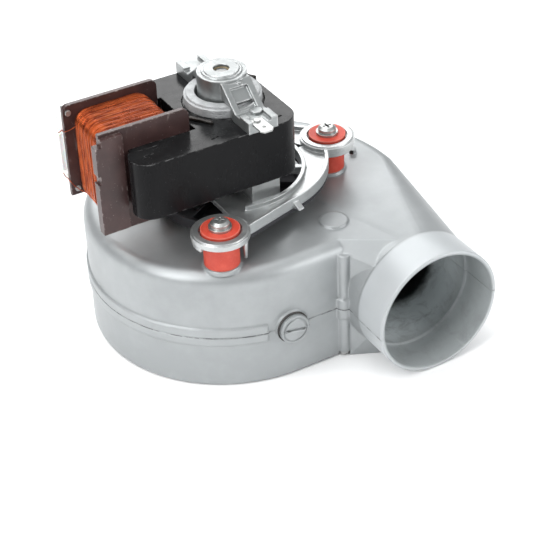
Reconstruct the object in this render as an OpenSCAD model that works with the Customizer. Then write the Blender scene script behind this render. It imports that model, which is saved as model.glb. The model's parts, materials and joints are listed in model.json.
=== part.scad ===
// Flue gas combustion fan: split die-cast volute, centrifugal impeller and
// shaded-pole motor on three silicone bushes. Millimetres.
// Frame: Z up along the shaft, origin at the inlet centre on the base face,
// the outlet spigot opens towards -Y and the coil lies on the -X side.

/* [Volute] */
// overall height of the volute body
body_h = 59.3; // [56:0.1:63]
// outer radius of the smallest scroll arc (front to left quadrant)
scroll_r = 63; // [60:0.2:68]
// growth of the scroll arc in the left to back quadrant
scroll_step = 6; // [4:0.5:8]
// casting wall thickness
wall = 2.2; // [1.8:0.1:2.8]
// radius of the rounded top edge
edge_r = 6.5; // [4:0.5:8]
// height of the joint between the two castings round the scroll
seam_z = 26.9; // [25:0.1:29]
// half height of the thickened joint rim
rim_half = 4.4; // [3:0.2:6]
// how far the joint rim stands out of the wall
rim_out = 0.9; // [0.4:0.1:1.4]

/* [Outlet] */
// outside diameter of the outlet spigot
spigot_d = 60; // [56:0.5:62]
// wall of the outlet spigot
spigot_wall = 1.8; // [1.4:0.1:2.6]
// distance of the outlet axis from the shaft
outlet_x = 53.2; // [50:0.2:56]
// height of the outlet axis
outlet_z = 30.4; // [30:0.1:32]
// distance of the spigot rim from the shaft
outlet_len = 89.5; // [84:0.5:100]
// distance of the spigot shoulder from the shaft
shoulder_y = 71; // [68:0.5:74]

/* [Inlet] */
// inside diameter of the inlet ring
inlet_d = 68; // [60:1:72]
// pitch circle of the base fixing holes
base_pcd = 92; // [88:0.5:96]
// thread core diameter of the base fixing holes
base_hole_d = 4.2; // [3.3:0.1:5]

/* [Impeller] */
// outside diameter of the blade wheel
wheel_d = 102; // [90:1:104]
// axial height of the blades
wheel_h = 32; // [24:1:34]
// radial depth of a blade
blade_depth = 10; // [7:0.5:12]
// number of blades
blade_count = 36; // [24:1:40]

/* [Motor] */
// shaft diameter
shaft_d = 6; // [5:0.1:7]
// width of the stator stack along X
stack_w = 77; // [74:0.5:82]
// depth of the stator stack along Y
stack_d = 64; // [60:0.5:68]
// thickness of the stator stack
stack_h = 26.3; // [24:0.1:28]
// height of the underside of the stator stack
stack_z = 84; // [83:0.5:86]
// distance of the closed end of the stack from the shaft
stack_end = 20.4; // [20:0.2:23]
// width of each stator arm
arm_w = 16; // [14:0.5:17]
// rotor diameter
rotor_d = 35.2; // [32:0.2:36]
// air gap between rotor and stator
air_gap = 0.4; // [0.35:0.05:0.6]
// width of a bobbin flange
flange_w = 44; // [40:0.5:46]
// height of a bobbin flange
flange_h = 48; // [44:0.5:50]

/* [Mounting] */
// radius of the circle through the three bushes
bush_circle = 51.2; // [50:0.2:52]
// rotation of the bush pattern about the shaft
bush_phase = -2; // [-6:1:6]
// silicone bush diameter
bush_d = 15.5; // [14.5:0.1:16]
// height of the bush seats above the base
seat_z = 60.6; // [59.8:0.2:61]
// mounting screw diameter
screw_d = 4; // [3.5:0.1:4.5]

/* [Hidden] */
$fn = 96;
// running clearance of the shaft in its bearings, radial
run_fit = 0.03;
// seat clearance of parts fixed to one another, radial
seat_fit = 0.02;
// small step used where a cut must run past a face
eps = 0.5;
// scroll arcs: centres and radii of the three quadrants
c1x = -0.9;
c1y = 3.6;
r1 = scroll_r;
c2x = c1x + scroll_step;
r2 = r1 + scroll_step;
spigot_r = spigot_d / 2;
bore_r = spigot_r - spigot_wall;
right_x = outlet_x + spigot_r;
r3 = right_x - c2x;
c3y = c1y - (r3 - r2);
front_y = c1y - r1;
tongue_x = outlet_x - spigot_r + 0.6;
// duct between scroll and spigot
loft_y = -8;
wedge_y = -shoulder_y;
// shell cavity
cav_top = body_h - 2.6;
cav_edge = 4.2;
// joint rim
rim_lo = seam_z - rim_half;
rim_hi = seam_z + rim_half;
// screw pillars on the joint: position, number
pillar_r = 3;
pillar_band_r = 3.8;
pillar_band_h = 5.2;
pillar_base = 3;
pillar_top = 44;
front_pillar_top = 55;
pillar_screw_r = 1.5;
pillar_screw_head_r = 2.5;
pillar_out = 0.9;
front_pillar = [tongue_x - 0.2, front_y + 0.2];
right_pillar = [right_x + pillar_out - 0.4, -22];
back_pillar = [c2x + (r2 + pillar_out) * cos(100), c1y + (r2 + pillar_out) * sin(100)];
left_pillar = [c2x + (r2 + pillar_out) * cos(130), c1y + (r2 + pillar_out) * sin(130)];
pillars = [front_pillar, right_pillar, back_pillar, left_pillar];
// round plug over the joint
plug_x = -3.4;
plug_r = 7;
plug_stem_r = 5.2;
plug_gap = 0.05;
plug_seat_y = front_y - 0.6;
plug_face_y = plug_seat_y - 3;
// fixed details on top of the upper casting
pad_pos = [29.8, -41.3];
pad_r = 6.4;
nub_pos = [67.8, 2.6];
// inlet
inlet_r = inlet_d / 2;
inlet_seat_r = inlet_r + 3;
ring_t = 1;
base_boss_r = 4.6;
base_boss_h = 7;
// impeller
wheel_r = wheel_d / 2;
wheel_z = 14;
disc_t = 1;
disc_z = wheel_z + wheel_h;
blade_t = 0.8;
blade_in_r = wheel_r - blade_depth;
shroud_in_r = inlet_r + 2.5;
hub_r = 8;
// shaft and motor
shaft_r = shaft_d / 2;
shaft_lo = 27;
shaft_hi = 124.2;
rotor_r = rotor_d / 2;
stator_bore_r = rotor_r + air_gap;
stack_top = stack_z + stack_h;
stack_mid = stack_z + stack_h / 2;
window_x = -stator_bore_r - 4;
arm_in = stack_d / 2 - arm_w;
arm_end_x = stack_end - stack_w;
arm_y = stack_d / 2 - arm_w / 2;
corner_r = 9;
rivet_x = 3.4;
rivet_y = arm_y - 0.7;
arm_shift = 1.3;
rivet_r = 1.75;
// coil
core_w = 13;
core_x = arm_end_x + 10;
core_tongue = 3;
core_fit = 0.03;
tube_wall = 1.2;
flange_t = 2;
bobbin_y = arm_in - 0.15;
flange_in = bobbin_y - flange_t;
wind_x = 4.5;
wind_z = 3;
wind_r = 5.5;
// brackets
low_plate_z = 71.5;
low_plate_t = 3;
ring_out = 43.4;
ring_in = 33.2;
ring_top = 76.5;
rim_w = 1.7;
arm_centre = [3.4, 5.4];
arm_r = 45.1;
guard_z = 69.5;
post_x0 = -3.3;
post_x1 = 10.3;
post_y0 = 18;
post_y1 = 29;
eye_r = 12.6;
eye_floor = 74;
eye_cup = 75.2;
eye_top = 77;
bush_r = bush_d / 2;
bush_neck_r = bush_r - 2.4;
bush_lip_r = bush_r + 0.7;
bush_gap = 0.15;
bush_top = 77.8;
sleeve_r = screw_d / 2 + 1.1;
sleeve_in = screw_d / 2 + 0.2;
screw_r = screw_d / 2;
screw_seat = 79;
washer_r = 5;
bearing_r = 6.5;
low_bearing_z = 69.6;
low_bearing_h = 7.2;
up_bearing_z = 117.2;
up_bearing_h = 5.6;
low_hub_r = 10.5;
cap_z = 125.4;
boss_r = 10.9;
boss_lo = 113.2;
skirt_in = 8.6;
// cage
cage_r = rotor_r - 0.6;
cage_in_r = 12.2;
cage_lo = stack_z - 5.4;
cage_hi = stack_top + 4.9;
bar_r = 1.3;
bar_circle = rotor_r - 2.2;
bar_count = 17;
// volute details
spigot_step = 0.4;
step_gap = 5.5;
seal_r = 7;
foot_edge = 1.8;
wheel_room = 4.6;
shoulder_x = 32.2;
shoulder_angle = -33;
shoulder_tilt = 49;
corner_angle = -25.4;
corner_tilt = 17.9;
rim_end_x = -14.6;
boss_in_r = 4.2;
boss_in_z = 48.6;
plug_gasket_t = 0.9;
inlet_rivet_circle = inlet_r + 2.05;
inlet_rivet_r = 0.6;
seal_rivet_circle = seal_r + 2;
seal_rivet_r = 0.9;
// cooling fan
fan_r = 32.4;
fan_z = 62.6;
fan_t = 1.6;
fan_blade_h = 3.2;
fan_hub_r = 6.5;
// small parts of the motor
clip_z = low_bearing_z + low_bearing_h + 0.2;
up_foot_z = stack_top + 4;
arm_w_up = 13.9;
arm_slope = atan((cap_z - 1.6 - up_foot_z) / (21 - boss_r + 1));
tab_x = -0.3;
tab_w = 6.3;
tab_t = 0.8;
earth_rivet_r = 0.9;
tab_y0 = -stack_d / 2 - 6.6;
tab_y1 = -stack_d / 2 + 3.4;
tab_rivet_y = -stack_d / 2 + 1.6;
rivet_head_r = rivet_r + 0.9;
shade_angle = 35;
shade_half = 5;
shade_r = 0.9;
stack_marks = [[-18.7, -27, 14], [12, -26.5, 14], [-48, -24, 14], [-25, 24, 14]];
rim_side = 12.4;
rim_proud = 2.4;
rear_drop = 4.2;
pin_r = 1;
pin_spots = [[core_x - flange_w / 2 + 2.3, stack_mid + 20.6],
    [core_x - flange_w / 2 + 2.9, stack_mid - 16.6]];
tape_t = 0.3;
block_x0 = core_x - flange_w / 2 + 0.2;
block_x1 = block_x0 + 8;
block_z0 = stack_mid - 12.5;
block_z1 = stack_mid + 13.5;
tab_zs = [stack_mid - 6, stack_mid + 7];
hub_rivet_r = 0.9;
blade_arc_r = blade_depth * 0.95;

// ---------- shared shapes ----------

module rod(r, z0, z1) {
    translate([0, 0, z0])
        cylinder(r = r, h = z1 - z0);
}

module tube(ro, ri, z0, z1) {
    difference() {
        rod(ro, z0, z1);
        rod(ri, z0 - eps, z1 + eps);
    }
}

module spin(count, start = 0) {
    for (i = [0 : count - 1])
        rotate([0, 0, start + i * 360 / count])
            children();
}

module at_bushes() {
    spin(3, bush_phase - 120)
        translate([bush_circle, 0, 0])
            children();
}

module box(x0, x1, y0, y1, z0, z1) {
    translate([x0, y0, z0])
        cube([x1 - x0, y1 - y0, z1 - z0]);
}

// section of a shell arc from the centre out to r, top edge e, bottom edge b
module arc_section(r, z0, z1, e, b) {
    difference() {
        translate([0, z0])
            square([r, z1 - z0]);
        translate([r - e, z1 - e])
            difference() {
                square([e + eps, e + eps]);
                circle(r = e);
            }
        if (b > 0)
            translate([r - b, z0 - eps])
                difference() {
                    square([b + eps, b + eps]);
                    translate([0, b + eps])
                        circle(r = b);
                }
    }
}

// plan of the scroll drawn in by "o" from the outside, z0 to z1
module scroll(o, z0, z1, e, b) {
    // front to left quadrant
    translate([c1x, c1y, 0])
        rotate([0, 0, 180])
            rotate_extrude(angle = 90)
                arc_section(r1 - o, z0, z1, e, b);
    // left to back quadrant
    translate([c2x, c1y, 0])
        rotate([0, 0, 90])
            rotate_extrude(angle = 90)
                arc_section(r2 - o, z0, z1, e, b);
    // back to right quadrant
    translate([c2x, c3y, 0])
        rotate_extrude(angle = 90)
            arc_section(r3 - o, z0, z1, e, b);
    // front straight, up to the tongue
    translate([c1x, c3y, 0])
        rotate([90, 0, 90])
            linear_extrude(height = tongue_x - o - c1x)
                mirror([1, 0])
                    arc_section(c3y - front_y - o, z0, z1, e, b);
    // middle of the plan
    box(c1x, c2x, c3y, c1y, z0, z1);
    // right straight, back part of the duct
    translate([c2x, c3y, 0])
        rotate([90, 0, 0])
            linear_extrude(height = c3y - loft_y)
                arc_section(right_x - o - c2x, z0, z1, e, b);
}

// outlet duct: rounded box section at the scroll blending into the spigot
module duct(x_in, o, z0, z1, e) {
    hull() {
        translate([0, loft_y, 0])
            rotate([90, 0, 0])
                linear_extrude(height = 0.4) {
                    translate([x_in, z0])
                        square([right_x - o - x_in, z1 - z0 - e]);
                    translate([x_in, z0])
                        square([right_x - o - x_in - e, z1 - z0]);
                    translate([right_x - o - e, z1 - e])
                        circle(r = e, $fn = 32);
                }
        translate([outlet_x, wedge_y + 0.4, outlet_z])
            rotate([90, 0, 0])
                cylinder(r = spigot_r - o - spigot_step, h = 0.4, $fn = 64);
    }
}

// cylinder along Y on the outlet axis, from the rim inwards
module outlet_rod(r, y0, y1) {
    translate([outlet_x, y1, outlet_z])
        rotate([90, 0, 0])
            cylinder(r = r, h = y1 - y0);
}

// block that carries the front wall from the tongue to the spigot shoulder
module shoulder() {
    difference() {
        linear_extrude(height = body_h)
            polygon([[tongue_x - 0.5, front_y], [tongue_x + 1, front_y - 2], [shoulder_x, wedge_y],
                [outlet_x, wedge_y], [outlet_x, loft_y], [tongue_x - 0.5, loft_y]]);
        translate([tongue_x + 2.6, front_y + 3.4, body_h])
            rotate([0, 0, shoulder_angle])
                translate([-25, 0, 0])
                    rotate([-shoulder_tilt, 0, 0])
                        translate([0, -20, -20])
                            cube([80, 20, 60]);
        // lower outer corner cut back towards the round spigot
        translate([tongue_x + 1, front_y - 2, 0])
            rotate([0, 0, corner_angle])
                rotate([corner_tilt, 0, 0])
                    translate([-20, -30, -20])
                        cube([80, 30, 60]);
    }
}

// outside of the whole volute body
module volute_body() {
    scroll(0, 0, body_h, edge_r, foot_edge);
    duct(tongue_x + 3, 0, 0, body_h, edge_r);
    shoulder();
    outlet_rod(spigot_r, -outlet_len, wedge_y);
}

// inside of the whole volute body
module volute_cavity() {
    scroll(wall, wall, cav_top, cav_edge, 0);
    rod(wheel_r + wheel_room, wall, cav_top);
    duct(tongue_x + 3 + wall, wall, wall, cav_top, cav_edge);
    outlet_rod(bore_r, -outlet_len - eps, wedge_y + 0.3);
}

// everything below the joint: one level round the scroll, the outlet axis at the duct
module below_joint(z0) {
    box(-120, 120, -120, 120, z0, seam_z);
    box(front_pillar[0] + step_gap, 120, -120, right_pillar[1] - step_gap, z0, outlet_z);
}

// thickened rim along the joint, kept off the flat front of the body
module joint_rim(z0, z1) {
    difference() {
        scroll(-rim_out, z0, z1, 0.4, 0.3);
        box(rim_end_x, outlet_x, -outlet_len, -20, z0 - eps, z1 + eps);
        box(outlet_x, right_x + 5, -outlet_len, loft_y + 2, z0 - eps, z1 + eps);
    }
}

// seats of the three bushes, with a core hole for the screw
module bush_bosses() {
    at_bushes() {
        rod(bush_r + 0.6, body_h - 1, seat_z);
        rod(boss_in_r, boss_in_z, body_h - 1);
    }
}

// flat seat and hole of the round plug, square to the front wall
module plug_rod(r, y0, y1) {
    translate([plug_x, y1, seam_z])
        rotate([90, 0, 0])
            cylinder(r = r, h = y1 - y0);
}

module pillar_holes(z0, z1, r) {
    for (p = pillars)
        translate([p[0], p[1], 0])
            rod(r, z0, z1);
}

// ---------- volute ----------

module upper_shell() {
    color("silver")
        difference() {
            union() {
                difference() {
                    union() {
                        difference() {
                            volute_body();
                            below_joint(-5);
                        }
                        joint_rim(seam_z, rim_hi);
                        intersection() {
                            plug_rod(plug_r + 0.9, plug_seat_y, front_y + 2);
                            box(-120, 120, -120, 120, seam_z, 120);
                        }
                        for (p = pillars)
                            translate([p[0], p[1], 0]) {
                                rod(pillar_r, seam_z, p == front_pillar ? front_pillar_top : pillar_top);
                                rod(pillar_band_r, seam_z, seam_z + pillar_band_h);
                            }
                        translate([pad_pos[0], pad_pos[1], 0])
                            rod(pad_r, body_h - 1, body_h + 1);
                        translate([nub_pos[0], nub_pos[1], 0])
                            rod(1.6, body_h - 1, body_h + 2.2);
                    }
                    volute_cavity();
                }
                bush_bosses();
                rod(seal_r + 4, cav_top - 2, body_h - 0.2);
            }
            // bush screw core holes
            at_bushes()
                rod(screw_r - 0.3, boss_in_z + 1.5, seat_z + eps);
            // seal bore in the roof
            rod(seal_r, cav_top - 2 - eps, body_h - 1.2);
            rod(shaft_r + 1, body_h - 2, body_h + eps);
            seal_holes(seal_rivet_r);
            plug_rod(plug_stem_r + plug_gap, front_y - 2, front_y + 6);
            pillar_holes(seam_z - eps, pillar_top - 4, pillar_screw_r - 0.2);
        }
}

module lower_shell() {
    color("silver")
        difference() {
            union() {
                difference() {
                    union() {
                        intersection() {
                            volute_body();
                            below_joint(-5);
                        }
                        joint_rim(rim_lo, seam_z);
                        intersection() {
                            plug_rod(plug_r + 0.9, plug_seat_y, front_y + 2);
                            box(-120, 120, -120, 120, -5, seam_z);
                        }
                        for (p = pillars)
                            translate([p[0], p[1], 0]) {
                                rod(pillar_r, pillar_base, seam_z);
                                rod(pillar_band_r, seam_z - pillar_band_h, seam_z);
                            }
                    }
                    volute_cavity();
                }
                spin(4, 45)
                    translate([base_pcd / 2, 0, 0])
                        rod(base_boss_r, wall - 0.5, base_boss_h);
                tube(inlet_seat_r + 2, inlet_seat_r, wall - 0.5, wall + 2.4);
            }
            rod(inlet_r, -eps, wall + 3);
            rod(inlet_seat_r, 1.2, wall + 3);
            spin(4, 45)
                translate([base_pcd / 2, 0, 0])
                    rod(base_hole_d / 2, -eps, base_boss_h - 1.4);
            plug_rod(plug_stem_r + plug_gap, front_y - 2, front_y + 6);
            pillar_holes(pillar_base - eps, seam_z + eps, pillar_screw_r + 0.15);
            pillar_holes(-eps, pillar_base, pillar_screw_head_r + 0.2);
            spin(3, 15)
                translate([inlet_rivet_circle, 0, 0])
                    rod(inlet_rivet_r + seat_fit, -eps, wall + eps);
        }
}

module shell_screws() {
    color("gray")
        for (p = pillars)
            translate([p[0], p[1], 0]) {
                rod(pillar_screw_r - 0.2 - seat_fit, pillar_base, pillar_top - 5);
                screw_head(pillar_screw_head_r, 2.1, pillar_base, -1);
            }
}

// pan head with a cross recess; it sits against z and points up or down
module screw_head(r, h, z, way) {
    translate([0, 0, z])
        rotate([way < 0 ? 180 : 0, 0, 0])
            difference() {
                union() {
                    rod(r, 0, h * 0.6);
                    translate([0, 0, h * 0.6])
                        cylinder(r1 = r, r2 = r * 0.7, h = h * 0.4);
                }
                translate([-r * 0.5, -r * 0.1, h * 0.45])
                    cube([r, r * 0.2, h]);
                translate([-r * 0.1, -r * 0.5, h * 0.45])
                    cube([r * 0.2, r, h]);
            }
}

module side_plug() {
    color("silver")
        difference() {
            union() {
                plug_rod(plug_r, plug_face_y, plug_seat_y - plug_gasket_t);
                plug_rod(plug_stem_r, plug_seat_y - plug_gasket_t - eps, front_y + wall + 0.4);
            }
            translate([plug_x, plug_face_y, seam_z])
                rotate([0, 12, 0])
                    cube([2 * plug_r - 4, 2.4, 1.2], center = true);
            difference() {
                plug_rod(plug_r - 1, plug_face_y - eps, plug_face_y + 0.5);
                plug_rod(plug_r - 1.7, plug_face_y - 2 * eps, plug_face_y + 1);
            }
        }
}

module plug_gasket() {
    color("dimgray")
        difference() {
            plug_rod(plug_r + 0.5, plug_seat_y - plug_gasket_t, plug_seat_y);
            plug_rod(plug_stem_r + plug_gap, plug_seat_y - 3, plug_seat_y + 1);
        }
}

module inlet_ring() {
    color("lightgray")
        difference() {
            union() {
                tube(inlet_seat_r - 0.1, inlet_r, 1.2, 1.2 + ring_t);
                tube(inlet_r + ring_t, inlet_r, 1.2, wheel_z - 1.6);
            }
            spin(3, 15)
                translate([inlet_rivet_circle, 0, 0])
                    rod(inlet_rivet_r + seat_fit, 0, 4);
        }
}

module inlet_rivets() {
    color("gray")
        spin(3, 15)
            translate([inlet_rivet_circle, 0, 0]) {
                rod(inlet_rivet_r, 0.2, 1.2 + ring_t);
                rod(inlet_rivet_r + 0.3, 1.2 + ring_t, 2 + ring_t);
            }
}

module seal_holes(r) {
    spin(3, 30)
        translate([seal_rivet_circle, 0, 0])
            rod(r + seat_fit, cav_top - 4, body_h - 1);
}

module shaft_seal() {
    color("dimgray")
        tube(seal_r - seat_fit, shaft_r + 0.35, cav_top - 2, body_h - 1.2);
}

module seal_plate() {
    color("lightgray")
        difference() {
            tube(seal_r + 4, shaft_r + 0.9, cav_top - 3, cav_top - 2);
            seal_holes(seal_rivet_r);
        }
}

module seal_rivets() {
    color("gray")
        spin(3, 30)
            translate([seal_rivet_circle, 0, 0]) {
                rod(seal_rivet_r, cav_top - 3, body_h - 1.2);
                rod(seal_rivet_r + 0.6, cav_top - 3.7, cav_top - 3);
            }
}

// ---------- motor brackets ----------

// flat ring sector, used for channel arms and their rims
module ring_sector(ro, ri, z0, z1, a0, a1) {
    rotate([0, 0, a0])
        rotate_extrude(angle = a1 - a0)
            translate([ri, z0])
                square([ro - ri, z1 - z0]);
}

// curved channel arm: floor with a raised rim on each side
// plan of the two curved arms between the eyes, drawn in by "o"
module arms_plan(o) {
    for (a = [0, 120])
        rotate(bush_phase + 2 + a)
            difference() {
                union() {
                    intersection() {
                        translate(arm_centre)
                            circle(r = arm_r - o);
                        polygon([[0, 0], [-16, -60], [60, -60], [80, -2]]);
                    }
                    polygon([[9.4, -39.4 + o], [-18, -47.6 + o], [-20.5, -33.5], [9.4, -33.5]]);
                }
                circle(r = ring_in + o);
            }
}

module lower_bracket() {
    color("lightgray")
        difference() {
            union() {
                // arms: floor with a raised rim
                translate([0, 0, low_plate_z])
                    linear_extrude(height = low_plate_t)
                        arms_plan(0);
                translate([0, 0, low_plate_z])
                    linear_extrude(height = ring_top - low_plate_z)
                        difference() {
                            arms_plan(0);
                            arms_plan(rim_w);
                        }
                // eyes that hold the bushes, each with a short skirt
                at_bushes() {
                    rod(eye_r, eye_floor, eye_top - 0.6);
                    rod(eye_r - 0.8, eye_floor, eye_top);
                    ring_sector(eye_r - 0.4, eye_r - 2.2, low_plate_z + 0.3, eye_floor + 0.5, 210, 320);
                }
                // hub and webs
                rod(low_hub_r, low_bearing_z - 1, clip_z);
                for (m = [0, 1])
                    mirror([0, m, 0]) {
                        box(-16.5, 10.4, 4, ring_in + 2, low_plate_z, low_plate_z + low_plate_t - 0.4);
                        // block under the stator arm and a rib to the hub
                        box(post_x0, post_x1, post_y0, post_y1, low_plate_z, stack_z);
                        box(rivet_x - 0.9, rivet_x + 0.9, 9, post_y0 + 1, low_plate_z + 1, low_plate_z + 5.5);
                    }
                for (a = [-28, 0, 28])
                    rotate([0, 0, bush_phase + a])
                        box(7, ring_in + 2, -1.3, 1.3, low_plate_z + 0.4, low_plate_z + low_plate_t + 1);
                // tapered foot beside each eye and short fins on the rim
                spin(3, bush_phase - 120 + 11.6)
                    translate([bush_circle - 1.4, 0, seat_z + 0.3])
                        cylinder(r1 = 0.7, r2 = 1.8, h = eye_floor - seat_z + 0.2);
                for (a = [-70, 50])
                    rotate([0, 0, bush_phase + a])
                    translate([ring_out - 3.5, 0, low_plate_z])
                        rotate([90, 0, 0])
                            translate([0, 0, -1.5])
                                linear_extrude(height = 3)
                                    polygon([[0, 0], [4.2, 0], [0, 3.5]]);
            }
            at_bushes() {
                rod(bush_neck_r + bush_gap, eye_floor - eps, ring_top + 2);
                rod(bush_lip_r + bush_gap + 0.6, eye_cup, ring_top + 2);
                rod(bush_r + bush_gap, low_plate_z - eps, eye_floor);
            }
            // bearing pocket with a shoulder at the bottom, felt pocket round it
            rod(bearing_r, low_bearing_z, stack_z);
            rod(bearing_r - 2, low_bearing_z - 2, stack_z);
            rod(low_hub_r - 1, clip_z - 1.2, stack_z - 3);
            at_rivets()
                rod(rivet_r + seat_fit, low_plate_z - eps, stack_z + eps);
        }
}

// the two rivet positions, one on each side
module at_rivets() {
    for (m = [0, 1])
        mirror([0, m, 0])
            translate([rivet_x, rivet_y, 0])
                children();
}

// dark plate under the arms, same outline, clear of the eyes
module guard_plate() {
    color("dimgray")
        difference() {
            translate([0, 0, guard_z])
                linear_extrude(height = low_plate_z - guard_z)
                    arms_plan(0.3);
            at_bushes()
                rod(eye_r + 0.3, guard_z - eps, low_plate_z + eps);
        }
}

// barrel shaped sintered bearing with a running bore
module bearing(z0, h) {
    difference() {
        union() {
            rod(bearing_r - seat_fit, z0 + 1, z0 + h - 1);
            translate([0, 0, z0])
                cylinder(r1 = bearing_r - 1, r2 = bearing_r - seat_fit, h = 1);
            translate([0, 0, z0 + h - 1])
                cylinder(r1 = bearing_r - seat_fit, r2 = bearing_r - 1, h = 1);
        }
        rod(shaft_r + run_fit, z0 - eps, z0 + h + eps);
    }
}

module lower_bearing() {
    color("peru")
        bearing(low_bearing_z, low_bearing_h);
}

module lower_bearing_clip() {
    color("silver")
        difference() {
            tube(low_hub_r - 0.6, bearing_r - 0.9, clip_z, clip_z + 0.6);
            spin(6)
                box(bearing_r - 2, bearing_r + 1, -0.5, 0.5, clip_z - eps, clip_z + 1);
        }
}

module lower_felt() {
    color("beige")
        tube(low_hub_r - 1, bearing_r + 0.3, clip_z - 1.2, clip_z);
}

// rivet through the bracket posts and the stack
module stator_rivets() {
    color("gray")
        at_rivets() {
            rod(rivet_r, low_plate_z, up_foot_z);
            rod(rivet_r + 1.2, low_plate_z - 1, low_plate_z);
            rod(rivet_head_r, up_foot_z, up_foot_z + 0.9);
        }
}

// profile of one upper arm seen from the side, y outwards, z up
module arm_profile() {
    polygon([[5, boss_lo + 4.6], [19.5, stack_top], [stack_d / 2 + 1, stack_top],
        [stack_d / 2 + 1, up_foot_z], [21.5, up_foot_z], [boss_r - 1, cap_z - 1.8], [5, cap_z - 1.8]]);
}

module upper_arm() {
    rotate([90, 0, 90])
        translate([0, 0, -arm_w_up / 2])
            linear_extrude(height = arm_w_up)
                arm_profile();
    // end blocks at both corners of the foot
    for (sx = [-1, 1])
        box(sx * (arm_w_up / 2 - 1.5) - 1.5, sx * (arm_w_up / 2 - 1.5) + 1.5,
            stack_d / 2 - 7, stack_d / 2 + 1, stack_top, up_foot_z + 1.2);
}

module upper_bracket() {
    color("darkgray")
        difference() {
            union() {
                rod(boss_r, boss_lo, cap_z - 0.9);
                rod(boss_r - 2, boss_lo, cap_z - 0.4);
                rod(boss_r - 3.2, boss_lo, cap_z);
                // cast pip at the top of the near arm
                translate([2.5, -boss_r - 0.2, 0])
                    rod(1.1, cap_z - 6, cap_z - 2.1);
                for (m = [0, 1])
                    mirror([0, m, 0])
                        translate([arm_shift, 0, 0])
                            upper_arm();
            }
            // room for the end ring under the arms
            tube(cage_r + 1.2, cage_in_r - 1, stack_top - eps, cage_hi + 1);
            rod(cage_r + 1.2, stack_top - eps, boss_lo);
            // bearing pocket, clip recess, oil felt pocket, cap hole
            rod(skirt_in, boss_lo - eps, up_bearing_z - 0.4);
            rod(bearing_r, boss_lo - eps, up_bearing_z + up_bearing_h);
            rod(bearing_r - 1.5, boss_lo, cap_z - 1.2);
            rod(shaft_r + 0.5, boss_lo, cap_z + eps);
            // recessed pocket along the slope of the near arm
            mirror([0, 1, 0])
                translate([arm_shift, boss_r, cap_z - 2.6])
                    rotate([-arm_slope, 0, 0])
                        box(-arm_w_up / 2 + 2.8, arm_w_up / 2 - 2.8, 1.9, 12.4, -1.4, 6);
            at_rivets() {
                rod(rivet_r + seat_fit, stack_top - eps, up_foot_z + eps);
                rod(rivet_head_r + 0.1, up_foot_z, cap_z);
            }
            // seat of the earth tab
            box(tab_x - tab_w / 2 - 0.1, tab_x + tab_w / 2 + 0.1, -stack_d / 2 - 3, tab_y1 + 0.1,
                up_foot_z - tab_t, up_foot_z + 4);
            translate([tab_x, tab_rivet_y, 0])
                rod(earth_rivet_r + seat_fit, up_foot_z - 2.5, up_foot_z);
        }
}

module upper_bearing() {
    color("peru")
        bearing(up_bearing_z, up_bearing_h);
}

module upper_bearing_clip() {
    color("silver")
        tube(skirt_in - seat_fit, bearing_r - 0.9, up_bearing_z - 1, up_bearing_z - 0.4);
}

module upper_felt() {
    color("beige")
        tube(bearing_r - 1.7, shaft_r + 0.4, up_bearing_z + up_bearing_h + 0.05, cap_z - 1.3);
}

module earth_tab() {
    color("silver")
        difference() {
            union() {
                box(tab_x - tab_w / 2, tab_x + tab_w / 2, tab_y0, tab_y1, up_foot_z - tab_t, up_foot_z);
                translate([tab_x, tab_y0, up_foot_z - tab_t])
                    linear_extrude(height = tab_t)
                        polygon([[-tab_w / 2, 0], [-tab_w / 2 + 1.4, -1.6], [tab_w / 2 - 1.4, -1.6],
                            [tab_w / 2, 0]]);
            }
            translate([tab_x, tab_y0 + 2.4, 0])
                rod(0.8, up_foot_z - 2, up_foot_z + 1);
            translate([tab_x, tab_rivet_y, 0])
                rod(earth_rivet_r + seat_fit, up_foot_z - 2, up_foot_z + 1);
        }
}

module earth_rivet() {
    color("gray")
        translate([tab_x, tab_rivet_y, 0]) {
            rod(earth_rivet_r, up_foot_z - 2.4, up_foot_z);
            rod(earth_rivet_r + 0.6, up_foot_z, up_foot_z + 0.6);
        }
}

// ---------- stator and coil ----------

module stack_plan() {
    difference() {
        union() {
            translate([arm_end_x + arm_w / 2, -stack_d / 2])
                square([stack_end - corner_r - arm_end_x - arm_w / 2, stack_d]);
            translate([stack_end - corner_r - eps, -stack_d / 2 + corner_r])
                square([corner_r + eps, stack_d - 2 * corner_r]);
            for (sy = [-1, 1]) {
                translate([stack_end - corner_r, sy * (stack_d / 2 - corner_r)])
                    circle(r = corner_r);
                translate([arm_end_x + arm_w / 2, sy * arm_y])
                    circle(r = arm_w / 2);
            }
        }
        // window for the coil
        translate([arm_end_x - 2, -arm_in])
            square([window_x - arm_end_x + 2, 2 * arm_in]);
        circle(r = stator_bore_r);
        // slots for the coil core tongues
        translate([core_x - core_w / 2 - core_fit, -arm_in - core_tongue - core_fit])
            square([core_w + 2 * core_fit, 2 * (arm_in + core_tongue + core_fit)]);
        // slots of the shading rings
        for (a = [0, 180])
            rotate([0, 0, a + shade_angle])
                for (y = [-shade_half, shade_half])
                    translate([stator_bore_r + 3.2, y])
                        circle(r = shade_r + seat_fit);
        at_rivets()
            circle(r = rivet_r + seat_fit);
    }
}

module stator_stack() {
    color("dimgray")
        difference() {
            translate([0, 0, stack_z])
                linear_extrude(height = stack_h)
                    stack_plan();
            // interlock marks pressed into the top lamination
            for (m = stack_marks)
                translate([m[0], m[1], stack_top])
                    rotate([0, 0, m[2]])
                        cube([4, 0.8, 0.8], center = true);
        }
}

module coil_core() {
    color("gray")
        box(core_x - core_w / 2, core_x + core_w / 2, -arm_in - core_tongue, arm_in + core_tongue,
            stack_z, stack_top);
}

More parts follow.
